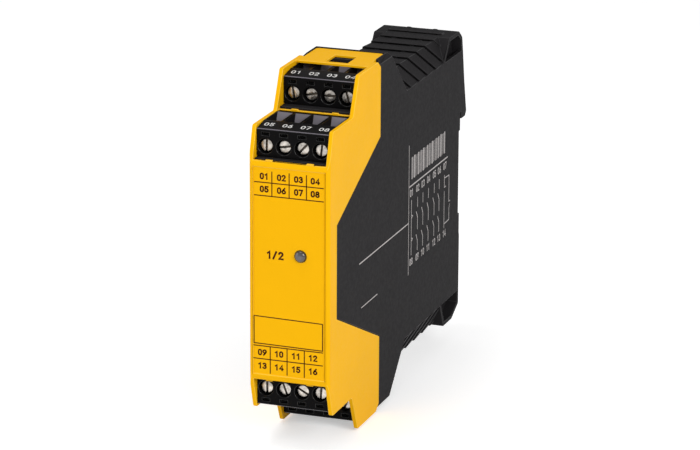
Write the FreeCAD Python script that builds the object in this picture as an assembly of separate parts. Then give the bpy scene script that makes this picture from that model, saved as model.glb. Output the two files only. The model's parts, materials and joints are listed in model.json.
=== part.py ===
import FreeCAD, Part
import math
import os

# A slim safety relay for a 35 mm mounting rail.
# A black housing carries the board and the relays, and a yellow cover with side cheeks
# snaps over its front. Four pluggable screw terminal blocks sit in two steps at the top
# and, mirrored, in two steps at the bottom.
# X runs across the width, depth runs back from the front face and height runs up.
# All shapes are drawn with depth 0 at the front face and height 0 at half height. The last
# step moves them back, so that the origin lies in the middle of the seat on the rail.

# Overall sizes in millimetres
WIDTH = 22.5
HEIGHT = 99.0
DEPTH = 114.5
HOOK_REACH = 5.5

# Walls and running gaps
HOUSING_WALL = 1.2
COVER_WALL = 1.1
FIT_GAP = 0.15
SNUG_GAP = 0.1
SEAM_GAP = 0.2

# Rail
RAIL_HEIGHT = 35.0
RAIL_FLANGE = 1.0
RAIL_RECESS = 1.0
RAIL_PAD_HEIGHT = 5.2
RAIL_PLAY = 0.1
HOOK_OVERLAP = 2.0
HOOK_LIP = 0.6
HOOK_BEVEL = 1.0
KNEE_INSET = 2.1
KNEE_HEIGHT = 26.3
KNEE_ROUND = 3.0
HOOK_TIP_ROUND = 0.5
HOOK_ROUND = 0.2
SEAT_END = 0.5
SEAT_BEVEL = 1.0

# Terminal blocks
POLES = 4
POLE_MARGIN = 1.09
PLUG_HEIGHT = 8.2
PLUG_DEPTH = 15.6
STRIP_START = 0.3
STRIP_FALL = 0.8
LIP_FALL = 0.2
STRIP_DEPTH = 5.0
NOSE_DEPTH = 5.7
NOSE_HEIGHT = 5.6
NOSE_MARGIN = 0.9
NOSE_WALL = 0.4
PLUG_SUNK = 1.45
PLUG_SETBACK = 3.0
SHELF_GAP = 0.2
STEP_SETBACK = 1.45
TOP_OVERHANG = 2.25
TIER_BACK = 19.9
TIER_RISE = 9.25
SCREW_HEIGHT = 2.75

# Wire funnels on top of each block
FUNNEL_WEB = 0.83
FUNNEL_START = 5.9
FUNNEL_LENGTH = 8.5
FUNNEL_NARROWING = 1.95
FUNNEL_TAPER = 2.2

# Clamp screws and clamps
HEAD_SPACING = 1.68
HEAD_CLEARANCE = 0.4
HEAD_HEIGHT = 1.6
HEAD_SETBACK = 1.1
HEAD_OVERHANG = 0.45
SHANK_SIDES = 12
HEAD_SIDES = 24
SLOT_WIDTH = 0.6
SLOT_DEPTH = 0.8
LEDGE = 0.5
CAGE_WALL = 0.55
CAGE_PLATE = 1.2
CAGE_BACK = 0.8
CAGE_SPACING = 1.08
CAGE_HEIGHT = 3.2
CAGE_TRAVEL = 2.5
CAGE_REST = 0.3
CAGE_OFFSET = 0.15
CLAMP_OPENING = 2.7
BAR_THICKNESS = 0.8
BAR_FOOT = 0.5
SOCKET_DEPTH = 4.9
TEST_SLOT_WIDTH = 2.2
TEST_SLOT_HEIGHT = 0.9
TEST_SLOT_DEPTH = 1.2
TEST_SLOT_DROP = 1.4

# Turned positions of the sixteen screw slots, in degrees from upright
SLOT_TURNS = {
    "top_rear": (-10, 78, 88, -14),
    "top_front": (2, 80, 42, 7),
    "bottom_front": (0, -20, -62, -3),
    "bottom_rear": (35, -75, 15, -22),
}

# Headers behind the blocks
HEADER_WALL = 0.8
HEADER_BACK = 1.3
PIN_SIZE = 1.0
PIN_STEP = 1.25
PIN_OFFSET = 0.2
PIN_LEAD = 1.3
PIN_ENTRY = 4.1

# Cover
COVER_DROP = 0.25
CROSSBAR = 0.4
CROSSBAR_DEPTH = 0.6
CROSSBAR_SUNK = 0.15
CHEEK_BITE = 0.3
TAB_HEIGHT = 0.3
TAB_WIDTH = 1.9
TAB_OFFSET = 5.7
TAB_SETBACK = 0.4
CHEEK_LAP = 1.35
CHEEK_WAIST_DEPTH = 6.0
CHEEK_WAIST_HEIGHT = 12.9
CHEEK_LEG_HEIGHT = 28.2
CHEEK_BEVEL_DEPTH = 2.2
CHEEK_BEVEL_DROP = 1.75
CHEEK_RISE = 0.1
CHEEK_ROUND = 0.8
CHEEK_REAR_ROUND = 0.5
CHEEK_FRONT_DROP = 1.1
CHEEK_FRONT_LEAN = 3.0
CHEEK_REAR_LEAN = 4.7
CORNER_ROUND = 1.2
TONGUE_LAP = 7.5
TONGUE_THICKNESS = 0.7
TONGUE_HALF_WIDTH = 9.65
TONGUE_CUT = 0.6
WINDOW_WIDTH = 6.2
WINDOW_LENGTH = 7.6
WINDOW_LIP = 1.5
WINDOW_OFFSET = 0.8
SNAP_MARGIN = 0.5
SNAP_ROOT = 0.5
SNAP_DEPTH = 0.25
PANEL_HALF_WIDTH = 10.1
PANEL_HALF_HEIGHT = 28.5
PANEL_RECESS = 0.25
LED_ACROSS = 3.17
LED_HEIGHT = 5.14
LED_DIAMETER = 3.2
LED_RISE = 0.7
LED_BARREL = 1.4
LED_FLANGE = 0.35

# Housing behind the cheeks
TOP_RIM = 0.8
RIM_ROUND = 0.6
TOP_CHAMFER = 1.2
TRAY_LEAD = 1.5
TRAY_DROP = 0.85
SHOULDER_DROP = 13.9

# Louvred vents
VENT_DROP = 7.3
VENT_HALF_WIDTH = 8.0
VENT_RUNOUT = 2.35
VENT_PITCH = 7.2
VENT_TOP_SLOTS = 2
VENT_LEAN = 8.2
VENT_SLOT = 0.9
VENT_DIP = 0.45
HOLLOW_FLOOR = 3.0
HOLLOW_INSET = 0.4
VENT_RIB = 1.2
VENT_RIB_DEPTH = 4.0
VENT_RIB_OFFSET = 3.9

# Hollow ears behind the vents. Front, crest and rear are measured forwards from the hook's tip,
# drop is measured from the top or bottom of the relay
EAR_SIZES = {
    "top": {"front": 21.2, "lean": 4.9, "drop": 7.6, "crest": 7.5, "rear": 3.7, "tuck": 0.8},
    "bottom": {"front": 22.0, "lean": 3.3, "drop": 6.9, "crest": 11.2, "rear": 5.2, "tuck": 0.0},
}
EAR_CORNER_DROP = 9.9
EAR_WALL = 1.1
EAR_FLOOR = 2.0
EAR_LEAD = 2.0
EAR_ROOF_ROUND = 1.5
EAR_REAR_ROUND = 1.0

# Board and what it carries
BOARD_THICKNESS = 1.6
BOARD_END_GAP = 10.0
BOARD_MARGIN = 0.3
BOARD_FRONT_GAP = 0.9
RELAY_THICKNESS = 13.5
RELAY_LENGTH = 54.0
RELAY_REAR_GAP = 10.85
RELAY_SPACING = 16.5
RELAY_HEADROOM = 1.4
RELAY_BEVEL = 0.8
CAPACITOR_DIAMETER = 10.0
CAPACITOR_LENGTH = 12.5
CAPACITOR_SEAL = 0.8
CAPACITOR_NECK = 0.5
CAPACITOR_LEAD = 23.5
CAPACITOR_HEIGHT = 12.0
LED_HOLDER_DEPTH = 5.0
LED_HOLDER_SIZE = 3.8

# Rail catch at the bottom
CATCH_WIDTH = 9.8
CATCH_WING = 1.15
CATCH_PLATE = 2.85
CATCH_RISE = 1.9
CATCH_INSET = 1.6
GRIP_THICKNESS = 1.2
GRIP_REACH = 1.5
GRIP_DROP = 3.5
GRIP_LEAD = 0.6
GRIP_ROUND = 0.3
GRIP_ROOT = 0.6
PULL_BEVEL = 2.2
CHANNEL_DEPTH = 6.65
CHANNEL_CLEARANCE = 0.8
SPRING_RADIUS = 1.9
SPRING_WIRE = 0.5
SPRING_LENGTH = 8.8
SPRING_TURNS = 6
SPRING_FACETS = 10
SPRING_SETBACK = 0.4
PEG_HEIGHT = 2.0
PEG_RISE = 9.0
PEG_LIP = 1.2
EYE_RISE = 1.2
EYE_HEIGHT = 2.2
EYE_WIDTH = 4.0

# Places that follow from the sizes above
half_width = WIDTH / 2
half_height = HEIGHT / 2
cover_half = half_height - COVER_DROP
seat_depth = DEPTH - HOOK_REACH
rail_half = RAIL_HEIGHT / 2
cheek_inner = half_width - COVER_WALL
plug_half = cheek_inner - SNUG_GAP
core_half = cheek_inner - FIT_GAP
core_inner = core_half - HOUSING_WALL
rear_inner = half_width - HOUSING_WALL
face_depths = {"front": PLUG_SETBACK, "rear": PLUG_SETBACK + TIER_BACK}
rear_base = half_height - PLUG_SUNK - PLUG_HEIGHT
plug_bases = {"front": rear_base - TIER_RISE, "rear": rear_base}
shelf_tops = {tier: base - SHELF_GAP for tier, base in plug_bases.items()}
front_edge = plug_bases["front"] - TAB_HEIGHT - SHELF_GAP
header_length = NOSE_DEPTH + HEADER_BACK
header_low = FIT_GAP + HEADER_WALL
header_high = NOSE_HEIGHT + FIT_GAP + HEADER_WALL
header_fronts = {tier: face + PLUG_DEPTH + FIT_GAP for tier, face in face_depths.items()}
header_rears = {tier: front + header_length for tier, front in header_fronts.items()}
step_depth = header_fronts["front"] + STEP_SETBACK
top_end = header_rears["rear"] + TOP_OVERHANG
tongue_end = top_end - TOP_RIM
cheek_depth = header_fronts["rear"] + CHEEK_LAP
tongue_start = cheek_depth - TONGUE_LAP
window_start = tongue_start + WINDOW_LIP
window_end = window_start + WINDOW_LENGTH
tongue_floor = cover_half - TONGUE_THICKNESS
slope_sum = top_end + half_height
shoulder = half_height - SHOULDER_DROP
vent_height = half_height - VENT_DROP
vent_fall = vent_height - shoulder
vent_start = slope_sum - vent_height + VENT_RUNOUT
ears = {}
for end, size in EAR_SIZES.items():
    ears[end] = {
        "front": DEPTH - size["front"], "lean": size["lean"], "height": half_height - size["drop"],
        "crest": DEPTH - size["crest"], "rear": DEPTH - size["rear"], "tuck": size["tuck"],
    }
ear_corner = half_height - EAR_CORNER_DROP
full_slots = int((ears["bottom"]["front"] - vent_start) / VENT_PITCH) + 1
vent_ends = vent_start + VENT_PITCH * (full_slots + VENT_TOP_SLOTS)
cavity_rear = seat_depth - RAIL_RECESS - HOUSING_WALL
board_back = SEAM_GAP - core_inner
board_face = board_back + BOARD_THICKNESS
pitch = (WIDTH - 2 * POLE_MARGIN) / POLES
pole_places = [pitch * (i - (POLES - 1) / 2) for i in range(POLES)]
funnel_width = pitch - FUNNEL_WEB
head_diameter = pitch - HEAD_SPACING
shank_diameter = head_diameter - 2 * HEAD_OVERHANG
cage_width = pitch - CAGE_SPACING
head_rear = HEAD_SETBACK + HEAD_HEIGHT
chamber_front = head_rear + LEDGE
bar_front = chamber_front + SNUG_GAP + CAGE_TRAVEL + CAGE_PLATE + CAGE_REST
bar_rear = bar_front + BAR_THICKNESS
cage_front = bar_front - CAGE_REST - CAGE_PLATE
cage_rear = bar_rear + CLAMP_OPENING + CAGE_BACK
chamber_rear = cage_rear + 2 * SNUG_GAP
cage_low = SCREW_HEIGHT + CAGE_OFFSET - CAGE_HEIGHT / 2
nose_half = plug_half - NOSE_MARGIN
header_half = core_half - SNUG_GAP
bar_half = cage_width / 2 - CAGE_WALL - 2 * SNUG_GAP
bar_low = BAR_FOOT + SNUG_GAP
nose_end = PLUG_DEPTH + NOSE_DEPTH
pin_level = NOSE_HEIGHT / 2 + PIN_OFFSET
socket_rear = nose_end - NOSE_WALL
socket_front = socket_rear - SOCKET_DEPTH
channel_front = seat_depth - CHANNEL_DEPTH
catch_half = CATCH_WIDTH / 2
catch_top = rail_half - CATCH_RISE
channel_top = catch_top - CHANNEL_CLEARANCE
catch_bottom = ears["bottom"]["height"] - CATCH_INSET
peg_level = catch_bottom - PEG_RISE
spring_outer = SPRING_RADIUS + SPRING_WIRE / 2
spring_top = SPRING_LENGTH - peg_level
recess_half = rail_half - RAIL_PAD_HEIGHT
board_rear = seat_depth - BOARD_END_GAP
relay_front = channel_front - RELAY_REAR_GAP - RELAY_SPACING - RELAY_THICKNESS
led_rear = COVER_WALL + LED_BARREL


def vec(x, depth, height):
    return FreeCAD.Vector(x, depth, height)


def box(x0, x1, d0, d1, h0, h1):
    return Part.makeBox(x1 - x0, d1 - d0, h1 - h0, vec(x0, d0, h0))


def rod(x, height, d0, d1, radius):
    return Part.makeCylinder(radius, d1 - d0, vec(x, d0, height), vec(0, 1, 0))


def sided_rod(x, height, d0, d1, radius, sides):
    """Small rod that repeats many times, drawn with flat sides."""
    turns = [2 * math.pi * (i + 0.5) / sides for i in range(sides)]
    corners = [vec(x + radius * math.cos(t), d0, height + radius * math.sin(t)) for t in turns]
    return Part.Face(polygon(corners)).extrude(vec(0, d1 - d0, 0))


def upside_down(shape):
    return shape.mirror(vec(0, 0, 0), vec(0, 0, 1))


def corner_points(before, corner, after, radius):
    """Start, middle and end of the arc that rounds one corner."""
    to_before = (before - corner).normalize()
    to_after = (after - corner).normalize()
    half_angle = to_before.getAngle(to_after) / 2
    reach = radius / math.tan(half_angle)
    bisector = (to_before + to_after).normalize()
    middle = corner + bisector * (radius / math.sin(half_angle) - radius)
    return corner + to_before * reach, middle, corner + to_after * reach


def outline(points, x=0.0):
    """Closed wire in the plane X = x. A third value in a point rounds that corner."""
    corners = [vec(x, p[0], p[1]) for p in points]
    count = len(points)
    ends = []
    for i in range(count):
        radius = points[i][2] if len(points[i]) > 2 else 0.0
        if radius > 0:
            ends.append(corner_points(corners[i - 1], corners[i], corners[(i + 1) % count], radius))
        else:
            ends.append((corners[i], None, corners[i]))
    edges = []
    for i in range(count):
        start, middle, stop = ends[i]
        if middle is not None:
            edges.append(Part.Arc(start, middle, stop).toShape())
        following = ends[(i + 1) % count][0]
        if stop.distanceToPoint(following) > 1e-6:
            edges.append(Part.LineSegment(stop, following).toShape())
    return Part.Wire(edges)


def prism(points, x0, x1, grow=0.0):
    """Outline in depth and height, grown sideways if asked, extruded across the width."""
    face = Part.Face(outline(points, x0))
    if grow:
        face = face.makeOffset2D(grow)
    return face.extrude(vec(x1 - x0, 0, 0))


def both_sides(shape):
    return shape.fuse(shape.mirror(vec(0, 0, 0), vec(1, 0, 0)))


def both_halves(upper):
    """Close an outline whose upper half is given from front to rear by mirroring it."""
    lower = [(p[0], -p[1]) + tuple(p[2:]) for p in reversed(upper)]
    return upper + lower


def polygon(points):
    return Part.makePolygon(points + [points[0]])


# Louvred vents: leaning shingles, each proud at its front edge and dipped at its rear edge


def vent_section(depth, inset):
    """Section on a leaning plane that crosses the top of the vent block at the given depth."""
    run = VENT_LEAN / vent_fall

    def at(x, height):
        return vec(x, depth + (vent_height - height) * run, height)

    low = shoulder - HOUSING_WALL
    top = vent_height - inset
    foot_half = half_width - inset
    top_half = VENT_HALF_WIDTH - inset / 2
    return polygon([
        at(-foot_half, low), at(-foot_half, shoulder), at(-top_half, top),
        at(top_half, top), at(foot_half, shoulder), at(foot_half, low),
    ])


def vent_shingles():
    shingles = []
    for k in range(full_slots + VENT_TOP_SLOTS + 1):
        start = vent_start + (k - 1) * VENT_PITCH
        sections = [vent_section(start, 0.0), vent_section(start + VENT_PITCH, VENT_DIP)]
        shingles.append(Part.makeLoft(sections, True, True))
    span = box(-WIDTH, WIDTH, 0, ears["bottom"]["crest"], 0, HEIGHT)
    return [shingle.common(span) for shingle in shingles]


def vent_slot(index, x_half, low):
    """Leaning slab that opens one slot down to the given height."""
    run = VENT_LEAN / vent_fall
    high = vent_height + 1
    top = vent_start + index * VENT_PITCH - run
    bottom = top + (high - low) * run
    points = [(top - VENT_SLOT, high), (top, high), (bottom, low), (bottom - VENT_SLOT, low)]
    return prism(points, -x_half, x_half)


def vent_ribs(high):
    """Two lengthwise ribs that carry the shingles across the slots, up to the given height."""
    ribs = []
    for side in (-1, 1):
        middle = side * VENT_RIB_OFFSET
        ribs.append(box(middle - VENT_RIB / 2, middle + VENT_RIB / 2, vent_start - VENT_PITCH / 2, vent_ends,
                        vent_height - VENT_RIB_DEPTH, high))
    return ribs


def vent_hollow(ear, stop):
    """Hollow under the louvres, tapered like them, then narrow between the ears."""
    start = top_end + HOUSING_WALL
    low = shoulder - HOLLOW_FLOOR
    base = rear_inner - HOLLOW_INSET
    top_half = VENT_HALF_WIDTH - HOUSING_WALL
    top = vent_height - HOUSING_WALL
    middle = ear["front"] - 2 * EAR_WALL
    section = [(-base, low), (-base, shoulder), (-top_half, top),
               (top_half, top), (base, shoulder), (base, low)]
    front = Part.Face(polygon([vec(x, start, h) for x, h in section]))
    wide = front.extrude(vec(0, middle - start, 0))
    narrow = box(-top_half, top_half, middle - 1, stop, low - EAR_FLOOR, ear["height"] - EAR_WALL)
    return wide.fuse(narrow)


def ear_outline(ear, base):
    return [
        (ear["front"], base), (ear["front"], shoulder), (ear["front"] + ear["lean"], ear["height"]),
        (ear["crest"], ear["height"], EAR_ROOF_ROUND),
        (ear["rear"] - ear["tuck"], ear_corner, EAR_REAR_ROUND),
        (ear["rear"], shoulder), (ear["rear"], base),
    ]


def ear_pockets(ear):
    """Side pockets that leave each ear a thin shell, open at both sides of the housing."""
    base = shoulder - EAR_FLOOR - EAR_WALL
    deep = prism(ear_outline(ear, base), VENT_HALF_WIDTH, rear_inner, -EAR_WALL)
    mouth = prism(ear_outline(ear, base), rear_inner - 1, half_width + 1, -EAR_WALL)
    mouth = mouth.cut(box(0, WIDTH, 0, DEPTH, 0, shoulder))
    return both_sides(deep.fuse(mouth))


# Cover


def cheek_outline():
    """Side view of the cover's cheeks, symmetric top to bottom."""
    step_top = plug_bases["front"] + PLUG_HEIGHT + CHEEK_RISE
    return both_halves([
        (0, front_edge - CHEEK_FRONT_DROP),
        (CHEEK_FRONT_LEAN, step_top, CHEEK_ROUND),
        (face_depths["rear"] - CHEEK_REAR_LEAN, step_top, CHEEK_ROUND),
        (face_depths["rear"], cover_half, CHEEK_ROUND),
        (cheek_depth - CHEEK_BEVEL_DEPTH, cover_half, CHEEK_REAR_ROUND),
        (cheek_depth, cover_half - CHEEK_BEVEL_DROP, CHEEK_REAR_ROUND),
        (cheek_depth, CHEEK_LEG_HEIGHT),
        (CHEEK_WAIST_DEPTH, CHEEK_WAIST_HEIGHT),
    ])


def crossbar():
    """Thin bar with two tabs between the two terminal blocks of one end."""
    low = plug_bases["front"] + PLUG_HEIGHT - CROSSBAR_SUNK
    high = low + CROSSBAR
    rear = step_depth - FIT_GAP
    front = rear - CROSSBAR_DEPTH
    reach = cheek_inner + CHEEK_BITE
    parts = [box(-reach, reach, front, rear, low, high)]
    for side in (-1, 1):
        middle = side * TAB_OFFSET
        parts.append(box(middle - TAB_WIDTH / 2, middle + TAB_WIDTH / 2, front, rear, low, high + TAB_HEIGHT))
    return parts


def tongue():
    """Top plate that joins the cheeks and reaches back over the housing."""
    reach = cheek_inner + CHEEK_BITE
    joined = cheek_depth - CHEEK_BEVEL_DEPTH - CHEEK_REAR_ROUND
    wide = box(-reach, reach, tongue_start, joined, tongue_floor, cover_half)
    half = TONGUE_HALF_WIDTH
    cut_start = tongue_end - TONGUE_CUT
    plan = polygon([
        vec(-half, joined - 1, tongue_floor), vec(half, joined - 1, tongue_floor),
        vec(half, cut_start, tongue_floor), vec(half - TONGUE_CUT, tongue_end, tongue_floor),
        vec(TONGUE_CUT - half, tongue_end, tongue_floor), vec(-half, cut_start, tongue_floor),
    ])
    narrow = Part.Face(plan).extrude(vec(0, 0, TONGUE_THICKNESS))
    window = box(WINDOW_OFFSET - WINDOW_WIDTH / 2, WINDOW_OFFSET + WINDOW_WIDTH / 2,
                 window_start, window_end, tongue_floor - 1, cover_half + 1)
    return wide.fuse(narrow).cut(window)


def front_cover():
    shell = prism(cheek_outline(), -half_width, half_width)
    uprights = [e for e in shell.Edges if e.BoundBox.YMax < 1e-6 and e.BoundBox.XLength < 1e-6]
    shell = shell.makeFillet(CORNER_ROUND, uprights)
    inner = [
        box(-cheek_inner, cheek_inner, COVER_WALL, DEPTH, -HEIGHT, HEIGHT),
        box(-cheek_inner, cheek_inner, -1, DEPTH, front_edge, HEIGHT),
        box(-cheek_inner, cheek_inner, -1, DEPTH, -HEIGHT, -front_edge),
    ]
    shell = shell.cut(inner)
    additions = []
    for piece in crossbar() + [tongue()]:
        additions.append(piece)
        additions.append(upside_down(piece))
    for side in (-1, 1):
        middle = side * TAB_OFFSET
        tab = box(middle - TAB_WIDTH / 2, middle + TAB_WIDTH / 2, TAB_SETBACK, COVER_WALL,
                  front_edge - 1, front_edge + TAB_HEIGHT)
        additions.append(tab)
        additions.append(upside_down(tab))
    shell = shell.fuse(additions)
    panel = box(-PANEL_HALF_WIDTH, PANEL_HALF_WIDTH, -1, PANEL_RECESS, -PANEL_HALF_HEIGHT, PANEL_HALF_HEIGHT)
    led_hole = rod(LED_ACROSS, LED_HEIGHT, -1, COVER_WALL + 1, LED_DIAMETER / 2 + SNUG_GAP)
    return shell.cut([panel, led_hole]).removeSplitter()


# Housing


def housing_outline():
    upper = [
        (COVER_WALL + 2 * FIT_GAP, shelf_tops["front"]),
        (step_depth, shelf_tops["front"]),
        (step_depth, shelf_tops["rear"]),
        (header_fronts["rear"] + FIT_GAP, shelf_tops["rear"]),
        (header_fronts["rear"] + FIT_GAP, half_height),
        (top_end, half_height, RIM_ROUND),
        (slope_sum - shoulder, shoulder),
    ]
    top_ear = ears["top"]
    bottom_ear = ears["bottom"]
    lip = seat_depth + RAIL_FLANGE + RAIL_PLAY
    rear = [
        (top_ear["rear"], shoulder),
        (DEPTH - KNEE_INSET, KNEE_HEIGHT, KNEE_ROUND),
        (DEPTH, rail_half - HOOK_LIP, HOOK_TIP_ROUND),
        (DEPTH - HOOK_BEVEL, rail_half - HOOK_OVERLAP, HOOK_ROUND),
        (lip, rail_half - HOOK_OVERLAP, HOOK_ROUND),
        (lip, rail_half + RAIL_PLAY),
        (seat_depth, rail_half + RAIL_PLAY),
        (seat_depth, recess_half),
        (seat_depth - RAIL_RECESS, recess_half),
        (seat_depth - RAIL_RECESS, -recess_half),
        (seat_depth, -recess_half),
        (seat_depth, -rail_half - SEAT_END),
        (bottom_ear["rear"], -rail_half - SEAT_END - SEAT_BEVEL),
        (bottom_ear["rear"], -shoulder),
    ]
    lower = [(p[0], -p[1]) + tuple(p[2:]) for p in reversed(upper)]
    return upper + rear + lower


def hollow_outline():
    """Inside of the housing: stepped under the blocks, sloped like the outside."""
    wall = HOUSING_WALL
    upper = [(-1, shelf_tops["front"] - wall)]
    for tier in ("front", "rear"):
        under = shelf_tops[tier] - wall
        upper.append((header_fronts[tier] - TRAY_LEAD, under))
        upper.append((header_fronts[tier] - TRAY_LEAD, under - TRAY_DROP))
        upper.append((header_rears[tier] + SNUG_GAP, under - TRAY_DROP))
        if tier == "front":
            upper.append((header_rears[tier] + SNUG_GAP, shelf_tops["rear"] - wall))
    roof = tongue_floor - SNUG_GAP - wall
    inner_sum = slope_sum - wall * math.sqrt(2)
    ceiling = shoulder - wall
    upper.append((header_rears["rear"] + SNUG_GAP, roof))
    upper.append((inner_sum - roof, roof))
    upper.append((inner_sum - ceiling, ceiling))
    ear_start = ears["bottom"]["front"] - EAR_LEAD
    upper.append((ear_start, ceiling))
    upper.append((ear_start, ceiling - EAR_FLOOR))
    upper.append((cavity_rear, ceiling - EAR_FLOOR))
    return both_halves(upper)


def header_pocket(tier):
    base = plug_bases[tier]
    return box(-core_half, core_half, header_fronts[tier] - SNUG_GAP, header_rears[tier] + 2 * SNUG_GAP,
               base - header_low - SNUG_GAP, base + header_high + SNUG_GAP)


def catch_channel():
    """Channel for the rail catch, narrower at its mouth so that the catch stays in."""
    wide = catch_half + CATCH_WING + FIT_GAP
    narrow = catch_half + FIT_GAP
    mouth = channel_front + CATCH_PLATE + 2 * FIT_GAP
    inner = box(-wide, wide, channel_front, mouth, -half_height, -channel_top)
    outer = box(-narrow, narrow, mouth - 1, DEPTH, -half_height, -channel_top)
    return inner.fuse(outer)


def cover_snap():
    """Sloped snap on the housing that clicks into the window of the cover's top plate."""
    front = header_fronts["rear"] + FIT_GAP
    rear = window_end - SEAM_GAP
    half = WINDOW_WIDTH / 2 - SNAP_MARGIN
    profile = [
        (front, tongue_floor - SNAP_ROOT), (front, cover_half - SNAP_DEPTH),
        (rear, tongue_floor), (rear, tongue_floor - SNAP_ROOT),
    ]
    return prism(profile, WINDOW_OFFSET - half, WINDOW_OFFSET + half)


def spring_peg():
    """Peg on the channel's front wall that carries the catch spring."""
    reach = channel_front + 2 * spring_outer + PEG_LIP
    half = spring_outer
    return box(-half, half, channel_front - 0.5, reach, -peg_level - PEG_HEIGHT, -peg_level)


def top_bevel():
    """Wedge that bevels the long edge where a side meets the top."""
    far = half_width + 1
    high = half_height + 1
    reach = TOP_CHAMFER + 1
    corner = polygon([vec(far, 0, high), vec(far, 0, high - 1 - reach), vec(far - 1 - reach, 0, high)])
    return Part.Face(corner).extrude(vec(0, vent_start, 0))


def housing():
    solid = prism(housing_outline(), -half_width, half_width)
    shingles = vent_shingles()
    slots = [vent_slot(k, WIDTH, shoulder) for k in range(full_slots)]
    solid = solid.fuse(shingles + [upside_down(s) for s in shingles])
    solid = solid.cut(slots + [upside_down(s) for s in slots])
    top_ear = ears["top"]
    bottom_ear = ears["bottom"]
    ear_base = shoulder - EAR_FLOOR - 2 * EAR_WALL
    solid = solid.fuse([
        prism(ear_outline(top_ear, ear_base), -half_width, half_width),
        upside_down(prism(ear_outline(bottom_ear, ear_base), -half_width, half_width)),
    ])
    cheek = cheek_outline()
    relief = prism(cheek, core_half, half_width + 1, SEAM_GAP)
    seam_depth = cheek_depth + SEAM_GAP
    bed_half = TONGUE_HALF_WIDTH + SNUG_GAP
    bed_floor = tongue_floor - SNUG_GAP
    beds = [
        box(-WIDTH, WIDTH, 0, seam_depth, bed_floor, HEIGHT),
        box(-bed_half, bed_half, 0, tongue_end + SNUG_GAP, bed_floor, HEIGHT),
        both_sides(top_bevel()),
    ]
    solid = solid.cut([both_sides(relief)] + beds + [upside_down(b) for b in beds])
    hollow = prism(hollow_outline(), -rear_inner, rear_inner)
    wall_band = prism(cheek, core_inner, half_width, SEAM_GAP + HOUSING_WALL)
    hollow = hollow.cut(both_sides(wall_band))
    guide_half = catch_half + CATCH_WING + FIT_GAP + HOUSING_WALL
    guide = box(-guide_half, guide_half, channel_front - HOUSING_WALL, DEPTH,
                -HEIGHT, -channel_top + HOUSING_WALL)
    hollow = hollow.cut(guide)
    top_hollow = vent_hollow(top_ear, top_ear["crest"] - 1)
    bottom_hollow = upside_down(vent_hollow(bottom_ear, channel_front - 2 * HOUSING_WALL))
    cuts = [hollow, top_hollow, bottom_hollow, ear_pockets(top_ear), upside_down(ear_pockets(bottom_ear))]
    for tier in ("front", "rear"):
        pocket = header_pocket(tier)
        cuts.append(pocket)
        cuts.append(upside_down(pocket))
    solid = solid.cut(cuts)
    ribs = vent_ribs(vent_height - VENT_DIP)
    snap = cover_snap()
    solid = solid.fuse(ribs + [upside_down(r) for r in ribs] + [snap, upside_down(snap)])
    solid = solid.cut(catch_channel()).fuse(spring_peg())
    top_slots = []
    for k in range(VENT_TOP_SLOTS):
        slot = vent_slot(full_slots + k, VENT_HALF_WIDTH - HOUSING_WALL, vent_height - 3 * HOUSING_WALL)
        top_slots.append(slot.cut(vent_ribs(HEIGHT)))
    solid = solid.cut(top_slots + [upside_down(s) for s in top_slots])
    return solid.removeSplitter()


# Terminal blocks, drawn with depth 0 at their face and height 0 at their base


def plug_body():
    height = PLUG_HEIGHT
    profile = [
        (0, 0), (0, height - STRIP_FALL - LIP_FALL), (STRIP_START, height - STRIP_FALL),
        (STRIP_START + STRIP_DEPTH, height), (PLUG_DEPTH, height), (PLUG_DEPTH, NOSE_HEIGHT),
        (nose_end, NOSE_HEIGHT), (nose_end, 0),
    ]
    body = prism(profile, -plug_half, plug_half)
    cuts = [both_sides(box(nose_half, WIDTH, PLUG_DEPTH, nose_end + 1, -1, height))]
    for x in pole_places:
        cuts.extend(pole_cuts(x))
    return body.cut(cuts)


def pole_cuts(x):
    """Everything that one pole hollows out of the block."""
    height = PLUG_HEIGHT
    floor = height - FUNNEL_TAPER
    mouth = funnel_width / 2
    throat = (funnel_width - FUNNEL_NARROWING) / 2
    funnel_stop = FUNNEL_START + FUNNEL_LENGTH
    throat_front = bar_rear + SNUG_GAP
    throat_rear = cage_rear - CAGE_BACK - SNUG_GAP
    funnel = Part.makeWedge(-throat, floor, -throat_rear, -funnel_stop, -mouth,
                            throat, height, -throat_front, -FUNNEL_START, mouth)
    funnel.rotate(vec(0, 0, 0), vec(1, 0, 0), 90)
    funnel.translate(vec(x, 0, 0))
    chamber_top = cage_low + CAGE_HEIGHT + FIT_GAP
    shaft = box(x - throat, x + throat, throat_front, throat_rear, chamber_top - 1, floor)
    chamber_half = cage_width / 2 + SNUG_GAP
    chamber = box(x - chamber_half, x + chamber_half, chamber_front, chamber_rear, BAR_FOOT, chamber_top)
    channel_half = bar_half + SNUG_GAP
    channel = box(x - channel_half, x + channel_half, chamber_rear - 1, socket_rear + SNUG_GAP,
                  BAR_FOOT, chamber_top)
    pin_way = PIN_SIZE / 2 + FIT_GAP
    entry = box(x - pin_way, x + pin_way, socket_rear, nose_end + 1, pin_level - pin_way, pin_level + pin_way)
    head_hole = sided_rod(x, SCREW_HEIGHT, -1, head_rear, head_diameter / 2 + HEAD_CLEARANCE, HEAD_SIDES)
    shank_way = shank_diameter / 2 + FIT_GAP
    shank_hole = box(x - shank_way, x + shank_way, head_rear - 1, chamber_front + 1,
                     SCREW_HEIGHT - shank_way, SCREW_HEIGHT + shank_way)
    slot_middle = height - STRIP_FALL - TEST_SLOT_DROP
    test_slot = box(x - TEST_SLOT_WIDTH / 2, x + TEST_SLOT_WIDTH / 2, -1, TEST_SLOT_DEPTH,
                    slot_middle - TEST_SLOT_HEIGHT / 2, slot_middle + TEST_SLOT_HEIGHT / 2)
    return [funnel, shaft, chamber, channel, entry, head_hole, shank_hole, test_slot]


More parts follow.
